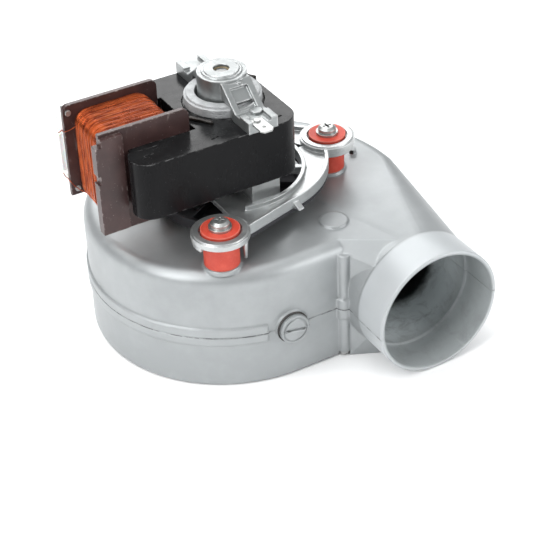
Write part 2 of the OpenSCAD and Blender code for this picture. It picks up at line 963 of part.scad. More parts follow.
// closed loop of stiff wire through the pole, above and below the stack
module shading_rings() {
    color("darkgoldenrod")
        for (a = [0, 180])
            rotate([0, 0, a + shade_angle])
                translate([stator_bore_r + 3.2, 0, 0]) {
                    for (y = [-shade_half, shade_half])
                        translate([0, y, 0])
                            rod(shade_r, stack_z - shade_r, stack_top + shade_r);
                    for (z = [stack_z - shade_r, stack_top + shade_r])
                        translate([0, shade_half, z]) {
                            sphere(r = shade_r);
                            rotate([90, 0, 0])
                                cylinder(r = shade_r, h = 2 * shade_half);
                            translate([0, -2 * shade_half, 0])
                                sphere(r = shade_r);
                        }
                }
}

// rounded plate in the XZ plane, thickness along Y
module xz_plate(w, h, r, y0, y1) {
    translate([core_x, y1, stack_mid])
        rotate([90, 0, 0])
            linear_extrude(height = y1 - y0) {
                square([w, h - 2 * r], center = true);
                square([w - 2 * r, h], center = true);
                for (sx = [-1, 1])
                    for (sz = [-1, 1])
                        translate([sx * (w / 2 - r), sz * (h / 2 - r)])
                            circle(r = r);
            }
}

module xz_hole(w, h) {
    box(core_x - w / 2, core_x + w / 2, -arm_in - 2, arm_in + 2, stack_mid - h / 2, stack_mid + h / 2);
}

module bobbin() {
    color("saddlebrown")
        difference() {
            union() {
                xz_plate(flange_w, flange_h, 3, -bobbin_y, -flange_in);
                difference() {
                    xz_plate(flange_w, flange_h, 3, flange_in, bobbin_y);
                    box(core_x - flange_w, core_x + flange_w, 0, 2 * bobbin_y, 0,
                        stack_mid - flange_h / 2 + rear_drop);
                }
                xz_plate(core_w + 2 * tube_wall, stack_h + 2 * tube_wall, 1, -flange_in - eps,
                    flange_in + eps);
                // thicker free side of the front flange
                box(core_x - flange_w / 2, core_x - flange_w / 2 + rim_side, -bobbin_y - rim_proud,
                    -flange_in - 0.5, stack_mid - flange_h / 2 + 1.5, stack_mid + flange_h / 2 - 1.5);
            }
            xz_hole(core_w + 2 * core_fit, stack_h + 2 * core_fit);
            // notch for the lead wire, slot in the free edge, pin holes
            box(core_x - flange_w / 2 - 1, core_x - flange_w / 2 + 2.6, -bobbin_y - 5, -flange_in + 1,
                stack_mid + flange_h / 2 - 5, stack_mid + flange_h / 2 + 1);
            box(core_x - flange_w / 2 - 1, core_x - flange_w / 2 + 1, -bobbin_y - 5, -flange_in + 1,
                stack_mid + 2, stack_mid + 6);
            at_pins(bobbin_y + 2.5, 6, pin_r + seat_fit);
        }
}

// cylinders along Y at the two terminal pins
module at_pins(y1, h, r) {
    for (p = pin_spots)
        translate([p[0], y1, p[1]])
            rotate([90, 0, 0])
                cylinder(r = r, h = h);
}

module flange_pins() {
    color("silver") {
        at_pins(bobbin_y + 3.8, 3.8 + flange_t + 0.3, pin_r);
        at_pins(flange_in, 0.8, pin_r + 0.3);
    }
}

// coil of round wire, wound about Y, fuller in the middle of each face
module coil_winding() {
    color("orangered")
        difference() {
            union() {
                xz_plate(flange_w - 2 * wind_x - 1.6, flange_h - 2 * wind_z - 1.6, wind_r - 1,
                    -flange_in + 0.1, flange_in - 0.1);
                xz_plate(flange_w - 2 * wind_x, flange_h - 2 * wind_z, wind_r,
                    -flange_in + 1.6, flange_in - 1.6);
            }
            xz_hole(core_w + 2 * tube_wall + 2 * tape_t + 0.04, stack_h + 2 * tube_wall + 2 * tape_t + 0.04);
        }
}

module coil_tape() {
    color("gold")
        difference() {
            xz_plate(core_w + 2 * tube_wall + 2 * tape_t, stack_h + 2 * tube_wall + 2 * tape_t, 0.2,
                -flange_in + 0.1, flange_in - 0.1);
            xz_hole(core_w + 2 * tube_wall + 0.04, stack_h + 2 * tube_wall + 0.04);
        }
}

module terminal_block() {
    color("whitesmoke")
        difference() {
            union() {
                box(block_x0, block_x1, bobbin_y, bobbin_y + 8, block_z0, block_z1);
                box(block_x0 - 1.6, block_x0 + 1, bobbin_y + 1.6, bobbin_y + 6.8, block_z0 + 4, block_z1 - 4);
            }
            for (z = tab_zs)
                box(block_x0 + 3, block_x0 + 4, bobbin_y + 2, bobbin_y + 9, z - 3.25, z + 3.25);
            at_pins(bobbin_y + 4.2, 6, pin_r + 0.4);
        }
}

module terminal_tabs() {
    color("silver")
        for (z = tab_zs)
            difference() {
                box(block_x0 + 3.1, block_x0 + 3.9, bobbin_y + 2.2, bobbin_y + 15, z - 3.15, z + 3.15);
                translate([block_x0, bobbin_y + 12, z])
                    rotate([0, 90, 0])
                        cylinder(r = 0.8, h = 8);
            }
}

// thin end of the winding led over the flange to a terminal
module lead_wires() {
    color("orangered")
        for (z = [stack_mid + flange_h / 2 - wind_z - 3, stack_mid - flange_h / 2 + rear_drop + 3]) {
            translate([core_x - flange_w / 2 - 0.7, bobbin_y + 3.2, z])
                rotate([90, 0, 0])
                    cylinder(r = 0.35, h = 6.6);
            translate([core_x - flange_w / 2 - 0.7, flange_in - 1.2, z])
                rotate([0, 90, 0])
                    cylinder(r = 0.35, h = wind_x + 0.6);
        }
}

// ---------- bush mounts ----------

module mount_bushes() {
    color("red")
        at_bushes()
            difference() {
                union() {
                    rod(bush_r, seat_z, eye_floor - 0.02);
                    rod(bush_neck_r, seat_z, bush_top);
                    rod(bush_lip_r, eye_cup + 0.02, bush_top);
                }
                rod(sleeve_r + seat_fit, seat_z - eps, bush_top + eps);
            }
}

module bush_sleeves() {
    color("silver")
        at_bushes()
            tube(sleeve_r, sleeve_in, seat_z, bush_top);
}

module bush_washers() {
    color("silver")
        at_bushes()
            tube(washer_r, sleeve_in, bush_top, screw_seat);
}

module mount_screws() {
    color("silver")
        at_bushes() {
            rod(screw_r - 0.3 - seat_fit, boss_in_z + 2, screw_seat);
            screw_head(screw_r + 2.1, 2.6, screw_seat, 1);
        }
}

// ---------- rotor ----------

module shaft() {
    color("silver")
        difference() {
            union() {
                rod(shaft_r, shaft_lo + 0.8, shaft_hi - 0.6);
                translate([0, 0, shaft_lo])
                    cylinder(r1 = shaft_r - 0.8, r2 = shaft_r, h = 0.8);
                translate([0, 0, shaft_hi - 0.6])
                    cylinder(r1 = shaft_r, r2 = shaft_r - 0.6, h = 0.6);
            }
            translate([0, 0, shaft_lo + 5])
                difference() {
                    rod(shaft_r + 1, 0, 0.9);
                    rod(shaft_r - 0.5, -1, 2);
                }
        }
}

module rotor_core() {
    color("gray")
        difference() {
            rod(rotor_r, stack_z, stack_top);
            rod(shaft_r + seat_fit, stack_z - eps, stack_top + eps);
            spin(bar_count)
                translate([bar_circle, 0, 0])
                    rod(bar_r + seat_fit, stack_z - eps, stack_top + eps);
        }
}

// cast cage: both end rings joined by the bars through the core
module rotor_cage() {
    color("whitesmoke")
        union() {
            tube(cage_r, cage_in_r, cage_lo + 1.2, stack_z);
            tube(cage_r - 1, cage_in_r, cage_lo, cage_lo + 1.2);
            tube(cage_r, cage_in_r, stack_top, cage_hi - 1.2);
            tube(cage_r - 1, cage_in_r, cage_hi - 1.2, cage_hi);
            spin(bar_count)
                translate([bar_circle, 0, 0])
                    rod(bar_r, stack_z - 0.5, stack_top + 0.5);
        }
}

module thrust_washers() {
    color("tan")
        union() {
            tube(washer_r - 0.2, shaft_r + seat_fit, low_bearing_z + low_bearing_h + 0.4, stack_z - 0.02);
            tube(washer_r - 0.2, shaft_r + seat_fit, stack_top + 0.02, up_bearing_z - 0.4);
        }
}

module cooling_fan() {
    color("black")
        difference() {
            union() {
                rod(fan_r, fan_z, fan_z + fan_t);
                rod(fan_hub_r, fan_z - 1.6, fan_z + fan_t + 2.4);
                spin(12)
                    box(fan_hub_r - 1, fan_r - 1, -0.6, 0.6, fan_z + fan_t - 0.2,
                        fan_z + fan_t + fan_blade_h);
                tube(fan_r, fan_r - 1.2, fan_z, fan_z + fan_t + fan_blade_h);
            }
            rod(shaft_r + seat_fit, fan_z - 3, fan_z + 10);
            spin(6, 15)
                translate([fan_r * 0.55, 0, 0])
                    rod(3.2, fan_z - 1, fan_z + fan_t + eps);
        }
}

module fan_clip() {
    color("silver")
        difference() {
            tube(fan_hub_r - 1.5, shaft_r + seat_fit, fan_z - 2.4, fan_z - 1.6);
            spin(4)
                box(shaft_r - 1, shaft_r + 1.2, -0.4, 0.4, fan_z - 3, fan_z - 1);
        }
}

// ---------- impeller ----------

module impeller_hub() {
    color("gray")
        difference() {
            union() {
                rod(hub_r, disc_z - 3, disc_z);
                rod(hub_r - 2.6, disc_z - 6, disc_z + disc_t + 3.4);
            }
            rod(shaft_r + seat_fit, disc_z - 8, disc_z + 8);
            hub_rivet_holes();
        }
}

module hub_rivet_holes() {
    spin(4, 45)
        translate([hub_r - 1.4, 0, 0])
            rod(hub_rivet_r + seat_fit, disc_z - 4, disc_z + disc_t + eps);
}

module impeller_rivets() {
    color("gray")
        spin(4, 45)
            translate([hub_r - 1.4, 0, 0]) {
                rod(hub_rivet_r, disc_z - 3, disc_z + disc_t);
                rod(hub_rivet_r + 0.3, disc_z + disc_t, disc_z + disc_t + 0.6);
            }
}

module impeller_disc() {
    color("silver")
        difference() {
            rod(wheel_r, disc_z, disc_z + disc_t);
            rod(hub_r - 2.6 + seat_fit, disc_z - eps, disc_z + disc_t + eps);
            hub_rivet_holes();
            spin(6, 15)
                translate([wheel_r * 0.48, 0, 0])
                    rod(4, disc_z - eps, disc_z + disc_t + eps);
        }
}

// forward curved blades, each a slice of a bent sheet
module impeller_blades() {
    color("silver")
        spin(blade_count)
            translate([blade_in_r, 0, wheel_z + disc_t])
                blade_slice();
}

module blade_slice() {
    linear_extrude(height = wheel_h - disc_t)
        intersection() {
            translate([0, blade_arc_r])
                difference() {
                    circle(r = blade_arc_r + blade_t / 2);
                    circle(r = blade_arc_r - blade_t / 2);
                }
            translate([0, -1])
                square([blade_depth - 0.8, blade_arc_r]);
        }
}

module impeller_shroud() {
    color("silver")
        tube(wheel_r, shroud_in_r, wheel_z, wheel_z + disc_t);
}

module impeller_washer() {
    color("silver")
        tube(washer_r, shaft_r + seat_fit, disc_z - 7, disc_z - 6);
}

module impeller_nut() {
    color("silver")
        difference() {
            translate([0, 0, disc_z - 12])
                cylinder(r = 5.6, h = 5, $fn = 6);
            rod(shaft_r + seat_fit, disc_z - 13, disc_z - 6);
        }
}

upper_shell();
lower_shell();
shell_screws();
side_plug();
plug_gasket();
inlet_ring();
inlet_rivets();
shaft_seal();
seal_plate();
seal_rivets();
lower_bracket();
guard_plate();
lower_bearing();
lower_bearing_clip();
lower_felt();
upper_bracket();
upper_bearing();
upper_bearing_clip();
upper_felt();
stator_stack();
coil_core();
shading_rings();
bobbin();
coil_winding();
coil_tape();
terminal_block();
terminal_tabs();
lead_wires();
flange_pins();
stator_rivets();
earth_tab();
earth_rivet();
mount_bushes();
bush_sleeves();
bush_washers();
mount_screws();
shaft();
rotor_core();
rotor_cage();
thrust_washers();
cooling_fan();
fan_clip();
impeller_hub();
impeller_disc();
impeller_blades();
impeller_shroud();
impeller_rivets();
impeller_nut();
impeller_washer();
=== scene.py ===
"""Looks of a flue gas combustion fan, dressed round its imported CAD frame."""

from __future__ import annotations

import json
import logging
import math
import random
from dataclasses import dataclass, field
from enum import Enum
from typing import Any, Callable, Iterable, Sequence

import bmesh
import bpy
from mathutils import Matrix, Vector, noise

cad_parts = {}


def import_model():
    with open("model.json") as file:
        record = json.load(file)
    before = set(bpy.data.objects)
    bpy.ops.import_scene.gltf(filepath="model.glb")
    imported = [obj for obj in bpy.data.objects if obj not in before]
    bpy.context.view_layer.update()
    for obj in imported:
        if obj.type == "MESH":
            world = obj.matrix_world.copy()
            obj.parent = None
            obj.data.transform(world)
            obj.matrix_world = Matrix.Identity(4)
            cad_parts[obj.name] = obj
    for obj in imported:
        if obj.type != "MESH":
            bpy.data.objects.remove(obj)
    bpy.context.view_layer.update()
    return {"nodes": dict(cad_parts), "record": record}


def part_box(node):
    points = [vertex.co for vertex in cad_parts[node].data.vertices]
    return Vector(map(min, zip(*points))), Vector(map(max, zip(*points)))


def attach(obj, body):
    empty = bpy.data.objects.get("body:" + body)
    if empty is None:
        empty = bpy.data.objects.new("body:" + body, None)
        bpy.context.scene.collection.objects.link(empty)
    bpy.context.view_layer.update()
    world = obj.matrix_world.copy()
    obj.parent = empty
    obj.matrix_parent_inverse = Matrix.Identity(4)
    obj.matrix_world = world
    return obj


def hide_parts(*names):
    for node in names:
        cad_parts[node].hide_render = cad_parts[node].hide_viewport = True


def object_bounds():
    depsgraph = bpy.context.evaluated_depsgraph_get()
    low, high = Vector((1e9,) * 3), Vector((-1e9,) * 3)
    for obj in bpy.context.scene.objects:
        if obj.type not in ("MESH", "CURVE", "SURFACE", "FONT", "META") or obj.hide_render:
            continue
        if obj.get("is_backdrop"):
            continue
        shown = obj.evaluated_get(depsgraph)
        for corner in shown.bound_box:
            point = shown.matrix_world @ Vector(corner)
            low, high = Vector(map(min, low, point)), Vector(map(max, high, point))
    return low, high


LOG = logging.getLogger("combustion_fan")
MM = 0.001
Rgb = tuple[float, float, float]
WIRE_SIDES = 6


# ---------- shader expressions ----------


class Value:
    """A shader number. Arithmetic on it adds Math nodes to its graph."""

    def __init__(self, graph: "Graph", socket: bpy.types.NodeSocket) -> None:
        """Keeps the graph and the socket that the number comes from."""
        self.graph = graph
        self.socket = socket

    def _math(self, operation: str, *terms: Any, clamp: bool = False) -> "Value":
        """Adds one Math node.

        Args:
            operation: the Math node's operation.
            terms: its inputs in order, numbers or values.
            clamp: whether the result stays between 0 and 1.

        Returns:
            The node's result.
        """
        made = self.graph.add(
            "ShaderNodeMath",
            {"operation": operation, "use_clamp": clamp},
            dict(enumerate(terms)),
        )
        return Value(self.graph, made.outputs[0])

    def __add__(self, other: Any) -> "Value":
        """Sum."""
        return self._math("ADD", self, other)

    __radd__ = __add__

    def __mul__(self, other: Any) -> "Value":
        """Product."""
        return self._math("MULTIPLY", self, other)

    __rmul__ = __mul__

    def __sub__(self, other: Any) -> "Value":
        """Difference."""
        return self._math("SUBTRACT", self, other)

    def __rsub__(self, other: Any) -> "Value":
        """Difference from a number."""
        return self._math("SUBTRACT", other, self)

    def __truediv__(self, other: Any) -> "Value":
        """Quotient."""
        return self._math("DIVIDE", self, other)

    def size(self) -> "Value":
        """Absolute value."""
        return self._math("ABSOLUTE", self)

    def root(self) -> "Value":
        """Square root."""
        return self._math("SQRT", self)

    def wave(self) -> "Value":
        """Sine."""
        return self._math("SINE", self)

    def clamp(self) -> "Value":
        """The number kept between 0 and 1."""
        return self._math("ADD", self, 0.0, clamp=True)

    def step(self, low: float, high: float) -> "Value":
        """Smooth step.

        Args:
            low: where the result is 0.
            high: where the result is 1; it may be below low.

        Returns:
            A number from 0 to 1.
        """
        made = self.graph.add(
            "ShaderNodeMapRange",
            {"interpolation_type": "SMOOTHSTEP", "clamp": True},
            {"Value": self, "From Min": low, "From Max": high, "To Min": 0.0, "To Max": 1.0},
        )
        return Value(self.graph, made.outputs[0])


class Nodes:
    """A node tree that is being built."""

    def __init__(self, tree: bpy.types.NodeTree) -> None:
        """Empties the tree and keeps it."""
        self.tree = tree
        self.tree.nodes.clear()

    def add(self, kind: str, settings: dict[str, Any], inputs: dict[Any, Any]) -> bpy.types.Node:
        """Adds one node.

        Args:
            kind: the node's type.
            settings: its properties; "stops" sets a ramp's positions and colours.
            inputs: a value or a link for each named or numbered socket.

        Returns:
            The new node.
        """
        made = self.tree.nodes.new(kind)
        for key, setting in settings.items():
            if key == "stops":
                ramp = made.color_ramp
                for element, (spot, color) in zip(ramp.elements, setting):
                    element.position = spot
                    element.color = (*color, 1.0)
            else:
                setattr(made, key, setting)
        for key, given in inputs.items():
            self.feed(made.inputs[key], given)
        return made

    def feed(self, socket: bpy.types.NodeSocket, given: Any) -> None:
        """Links or sets one socket.

        Args:
            socket: the input.
            given: a value, an output socket, a number or a tuple.
        """
        if isinstance(given, Value):
            given = given.socket
        if isinstance(given, bpy.types.NodeSocket):
            self.tree.links.new(given, socket)
        elif socket.type == "RGBA" and len(given) == 3:
            socket.default_value = (*given, 1.0)
        else:
            socket.default_value = given


class Graph(Nodes):
    """The node tree of one material."""

    def __init__(self, name: str) -> None:
        """Makes an empty material with an output and a Principled shader."""
        self.material = bpy.data.materials.new(name)
        self.material.use_nodes = True
        super().__init__(self.material.node_tree)
        self.shader = self.add("ShaderNodeBsdfPrincipled", {}, {})
        self.add("ShaderNodeOutputMaterial", {}, {"Surface": self.shader.outputs[0]})
        self._place: bpy.types.NodeSocket | None = None

    def place(self) -> bpy.types.NodeSocket:
        """Position on the object in metres, in the frame's axes."""
        if self._place is None:
            self._place = self.add("ShaderNodeTexCoord", {}, {}).outputs["Object"]
        return self._place

    def axes(self) -> tuple[Value, Value, Value]:
        """The position's X, Y and Z."""
        made = self.add("ShaderNodeSeparateXYZ", {}, {0: self.place()})
        return Value(self, made.outputs[0]), Value(self, made.outputs[1]), Value(self, made.outputs[2])

    def stretched(self, scale: Sequence[float]) -> bpy.types.NodeSocket:
        """The position with each axis scaled on its own."""
        return self.add(
            "ShaderNodeVectorMath", {"operation": "MULTIPLY"}, {0: self.place(), 1: tuple(scale)}
        ).outputs[0]

    def noise(self, size: float, detail: float = 3.0, rough: float = 0.55,
              stretch: Sequence[float] = (1.0, 1.0, 1.0), warp: float = 0.0) -> Value:
        """Noise from 0 to 1.

        Args:
            size: length of one blotch in metres.
            detail: octaves.
            rough: weight of the finer octaves.
            stretch: scale of each axis.
            warp: distortion.

        Returns:
            The noise.
        """
        made = self.add(
            "ShaderNodeTexNoise",
            {},
            {"Vector": self.stretched(stretch), "Scale": 1.0 / size, "Detail": detail,
             "Roughness": rough, "Distortion": warp},
        )
        return Value(self, made.outputs[0])

    def cells(self, size: float, feature: str = "F1",
              stretch: Sequence[float] = (1.0, 1.0, 1.0)) -> Value:
        """Distance to the cells of a Voronoi pattern.

        Args:
            size: size of a cell in metres.
            feature: which distance.
            stretch: scale of each axis.

        Returns:
            The distance, in cells.
        """
        made = self.add(
            "ShaderNodeTexVoronoi",
            {"feature": feature},
            {"Vector": self.stretched(stretch), "Scale": 1.0 / size},
        )
        return Value(self, made.outputs[0])

    def mix(self, mask: Any, low: Any, high: Any) -> bpy.types.NodeSocket:
        """Blends two colours.

        Args:
            mask: 0 gives low, 1 gives high.
            low: a colour or a colour socket.
            high: a colour or a colour socket.

        Returns:
            The blended colour's socket.
        """
        made = self.add("ShaderNodeMix", {"data_type": "RGBA"}, {"Factor": mask})
        self.feed(made.inputs[6], low)
        self.feed(made.inputs[7], high)
        return made.outputs[2]

    def round_normal(self, radius: float) -> bpy.types.NodeSocket:
        """Surface normal with edges rounded to that radius in metres."""
        return self.add("ShaderNodeBevel", {"samples": 6}, {"Radius": radius}).outputs[0]

    def edge(self, radius: float) -> Value:
        """Mask that is 1 on edges sharper than the given radius in metres."""
        plain = self.add("ShaderNodeNewGeometry", {}, {}).outputs["Normal"]
        dot = self.add(
            "ShaderNodeVectorMath",
            {"operation": "DOT_PRODUCT"},
            {0: self.round_normal(radius), 1: plain},
        )
        return Value(self, dot.outputs["Value"]).step(0.995, 0.9)

    def bump(self, height: Value, depth: float, normal: Any = None) -> bpy.types.NodeSocket:
        """Normal with a height pattern on it.

        Args:
            height: the pattern, 0 to 1.
            depth: its height in metres.
            normal: the normal that it goes on.

        Returns:
            The bumped normal.
        """
        inputs = {"Height": height, "Distance": depth, "Strength": 1.0}
        if normal is not None:
            inputs["Normal"] = normal
        return self.add("ShaderNodeBump", {}, inputs).outputs[0]

    def finish(self, **inputs: Any) -> bpy.types.Material:
        """Feeds the Principled shader, by socket name with _ for a space, and gives the material."""
        for key, given in inputs.items():
            self.feed(self.shader.inputs[key.replace("_", " ")], given)
        return self.material


# ---------- finishes ----------


@dataclass(frozen=True)
class Finish:
    """A finish that a piece can take.

    Args:
        name: the material's name.
        color: main colour.
        second: colour of the blotches and worn places.
        metallic: how metallic it is.
        roughness: mean roughness.
        grain: size of the surface grain in metres.
        depth: height of the grain in metres.
        soften: radius of the edges in metres.
    """

    name: str
    color: Rgb
    second: Rgb
    metallic: float = 1.0
    roughness: float = 0.4
    grain: float = 0.6 * MM
    depth: float = 0.05 * MM
    soften: float = 0.35 * MM

    def build(self) -> bpy.types.Material:
        """Makes the material."""
        graph = Graph(self.name)
        tone = graph.noise(14 * MM, 4.0)
        fine = graph.noise(self.grain, 4.0, 0.65)
        worn = graph.edge(self.soften * 1.6) * graph.noise(2.2 * MM, 3.0).step(0.35, 0.7)
        color = graph.mix(tone.step(0.3, 0.75) * 0.5 + worn * 0.5, self.color, self.second)
        return graph.finish(
            Base_Color=color,
            Metallic=self.metallic,
            Roughness=(self.roughness + (fine - 0.5) * 0.14 + (tone - 0.5) * 0.1).clamp(),
            Normal=graph.bump(fine, self.depth, graph.round_normal(self.soften)),
        )


@dataclass(frozen=True)
class CastShell(Finish):
    """Sand-blasted casting of the volute, with soot, painted light and painted shadow in its mouth, and a
    dark line at its joint.

    Args:
        joint: height of the joint plane in metres.
        duct_joint: height of the joint at the duct in metres.
        mouth: centre of the spigot in metres.
        bore: radius of the spigot's bore in metres.
        step_x: where the joint changes its height, in metres.
        duct_end: where the throat's soot, painted light and painted shade end inside, along Y in metres.
        dark_end: where the duct is painted near black as painted shadow deep inside, along Y in metres.
        collar: where the spigot starts, along Y in metres; beyond it the spigot's outside is painted
            lighter as painted light.
        far_wall: where the duct's far wall starts, along X in metres.
        floor_top: height of the duct's floor in metres.
    """

    joint: float = 0.027
    duct_joint: float = 0.0304
    mouth: tuple[float, float, float] = (0.053, -0.08, 0.03)
    bore: float = 0.0282
    step_x: float = 0.03
    duct_end: float = -37 * MM
    dark_end: float = -41.5 * MM
    collar: float = -71.5 * MM
    far_wall: float = 62 * MM
    floor_top: float = 11 * MM

    def build(self) -> bpy.types.Material:
        """Makes the material."""
        graph = Graph(self.name)
        across, along, up = graph.axes()
        broad = graph.noise(38 * MM, 3.0, 0.5)
        blot = graph.noise(6 * MM, 5.0, 0.6)
        fine = graph.noise(self.grain, 5.0, 0.7)
        speck = graph.cells(1.9 * MM).step(0.16, 0.05)
        worn = graph.edge(1.2 * MM)
        dx = across - self.mouth[0]
        dz = up - self.mouth[2]
        radius = (dx * dx + dz * dz).root()
        inside = radius.step(self.bore + 1.2 * MM, self.bore + 0.2 * MM)
        inside = inside * along.step(self.duct_end + 7 * MM, self.duct_end - 7 * MM)
        # The far wall and floor deep in the duct also take the throat's colour, with its painted light.
        facing = graph.add("ShaderNodeNewGeometry", {}, {}).outputs["Normal"]
        turned = graph.add("ShaderNodeSeparateXYZ", {}, {0: facing})
        inward = Value(graph, turned.outputs[0]).step(-0.2, -0.5)
        inward = inward * across.step(self.far_wall - 2 * MM, self.far_wall + 2 * MM)
        floor = Value(graph, turned.outputs[2]).step(0.3, 0.6)
        floor = floor * up.step(self.floor_top + 2 * MM, self.floor_top - 2 * MM)
        inside = (inside + inward + floor * across.step(20 * MM, 24 * MM)).clamp()
        soot = graph.noise(9 * MM, 6.0, 0.7, warp=0.6).step(0.42, 0.72)
        low_side = up.step(self.mouth[2] + 4 * MM, self.mouth[2] - self.bore)
        scratch = graph.noise(5 * MM, 2.0, 0.5, (1.0, 0.12, 1.0)).step(0.64, 0.7)
        body = graph.mix((broad - 0.38) * 1.5 + (blot - 0.5) * 0.7, self.color, self.second)
        body = graph.mix(speck * 0.16, body, (0.30, 0.31, 0.32))
        body = graph.mix(worn * 0.16, body, (0.62, 0.64, 0.65))
        # Painted light and shade: the throat is painted light grey deeper in, where shade falls, and
        # darker at the mouth, where light falls.
        mouth_painted_shade = along.step(self.collar + 13.5 * MM, self.collar - 4.5 * MM)
        throat = graph.mix(mouth_painted_shade, (0.74, 0.79, 0.80), (0.33, 0.355, 0.36))
        throat = graph.mix(soot * (0.25 + low_side * 0.4), throat, (0.24, 0.255, 0.255))
        throat = graph.mix(scratch * low_side * 0.3, throat, (0.45, 0.47, 0.47))
        # Painted shadow: deep inside the duct the throat is painted near black, standing in for the shade
        # there.
        painted_deep_shadow = (along + blot * 6 * MM).step(self.dark_end - 3.5 * MM, self.dark_end + 3.5 * MM)
        throat = graph.mix(painted_deep_shadow, throat, (0.012, 0.012, 0.012))
        # Painted light: the spigot's outside is painted lighter and made less metallic so that it looks
        # brightly lit.
        collar = along.step(self.collar + 1 * MM, self.collar - 1 * MM)
        body = graph.mix(collar * 0.55, body, (0.58, 0.61, 0.625))
        color = graph.mix(inside, body, throat)
        at_duct = across.step(self.step_x - 1 * MM, self.step_x + 1 * MM)
        level = self.joint + at_duct * (self.duct_joint - self.joint)
        broken = graph.noise(4.5 * MM, 3.0, 0.6).step(0.44, 0.58)
        line = (up - level).size().step(0.34 * MM, 0.12 * MM) * broken * (1 - inside)
        color = graph.mix(line * 0.75, color, (0.09, 0.09, 0.09))
        return graph.finish(
            Base_Color=color,
            Metallic=(self.metallic - inside * 0.6 - collar * 0.2).clamp(),
            Roughness=(self.roughness + (fine - 0.5) * 0.12 + (blot - 0.5) * 0.1 + inside * 0.15).clamp(),
            Normal=graph.bump(
                fine + blot * 0.7 - line * 2.0, self.depth, graph.round_normal(self.soften)
            ),
        )


@dataclass(frozen=True)
class DieCast(Finish):
    """Bright die casting with flow marks and small bruises."""

    def build(self) -> bpy.types.Material:
        """Makes the material."""
        graph = Graph(self.name)
        flow = graph.noise(5 * MM, 4.0, 0.6, (1.0, 1.0, 0.5), 0.8)
        fine = graph.noise(self.grain, 4.0, 0.6)
        dents = graph.cells(1.4 * MM).step(0.35, 0.0)
        worn = graph.edge(self.soften * 1.8) * graph.noise(3 * MM).step(0.3, 0.6)
        dark = graph.noise(7 * MM, 3.0, 0.6).step(0.5, 0.75)
        color = graph.mix(dark * 0.55, self.color, self.second)
        color = graph.mix(worn * 0.5, color, (0.72, 0.73, 0.73))
        return graph.finish(
            Base_Color=color,
            Metallic=self.metallic,
            Roughness=(self.roughness + (flow - 0.5) * 0.3 + (fine - 0.5) * 0.1).clamp(),
            Normal=graph.bump(
                flow * 1.2 + fine * 0.5 + dents * 0.6, self.depth, graph.round_normal(self.soften)
            ),
        )


@dataclass(frozen=True)
class RawCage(Finish):
    """Rough pressure-cast end ring, pitted and nearly white."""

    def build(self) -> bpy.types.Material:
        """Makes the material."""
        graph = Graph(self.name)
        lumps = graph.noise(2.2 * MM, 5.0, 0.7, warp=0.4)
        pits = graph.cells(1.1 * MM).step(0.42, 0.1)
        tone = graph.noise(4.5 * MM, 3.0)
        color = graph.mix(tone.step(0.35, 0.7), self.color, self.second)
        color = graph.mix(pits * 0.4, color, (0.36, 0.36, 0.37))
        return graph.finish(
            Base_Color=color,
            Metallic=self.metallic,
            Roughness=(self.roughness + (lumps - 0.5) * 0.25).clamp(),
            Normal=graph.bump(lumps * 1.6 - pits * 0.7, self.depth, graph.round_normal(self.soften)),
        )


@dataclass(frozen=True)
class Varnish(Finish):
    """Varnished sheet stack: fine sheet edges on the sides, a greyer sheen on the flat top.

    Args:
        sheet: thickness of a sheet in metres.
    """

    sheet: float = 0.5 * MM

    def build(self) -> bpy.types.Material:
        """Makes the material."""
        graph = Graph(self.name)
        _, _, up = graph.axes()
        facing = graph.add("ShaderNodeNewGeometry", {}, {}).outputs["Normal"]
        turned = graph.add("ShaderNodeSeparateXYZ", {}, {0: facing})
        flat = Value(graph, turned.outputs[2]).size().step(0.6, 0.9)
        wobble = graph.noise(6 * MM, 2.0, 0.5, (1.0, 1.0, 4.0))
        lines = ((up / self.sheet + wobble * 0.5) * (2 * math.pi)).wave() * 0.5 + 0.5
        runs = graph.noise(5 * MM, 4.0, 0.6, (1.0, 1.0, 0.35))
        dust = graph.cells(1.3 * MM).step(0.13, 0.03) * graph.noise(3 * MM).step(0.48, 0.62)
        haze = graph.noise(16 * MM, 4.0, 0.6)
        worn = graph.edge(0.9 * MM) * graph.noise(2.5 * MM, 3.0).step(0.45, 0.65)
        side = graph.mix(haze * 0.6, self.color, self.second)
        top = graph.mix(haze.step(0.3, 0.7), (0.008, 0.008, 0.0085), (0.016, 0.0165, 0.017))
        color = graph.mix(flat, side, top)
        color = graph.mix(dust * 0.32, color, (0.35, 0.36, 0.38))
        color = graph.mix(worn * 0.4, color, (0.28, 0.28, 0.28))
        height = lines * (1 - flat) * 0.5 + runs * 1.2
        return graph.finish(
            Base_Color=color,
            Metallic=self.metallic,
            Roughness=(self.roughness + (runs - 0.5) * 0.25 + dust * 0.3 - flat * 0.04).clamp(),
            Specular_IOR_Level=0.12,
            Normal=graph.bump(height, self.depth, graph.round_normal(self.soften)),
        )


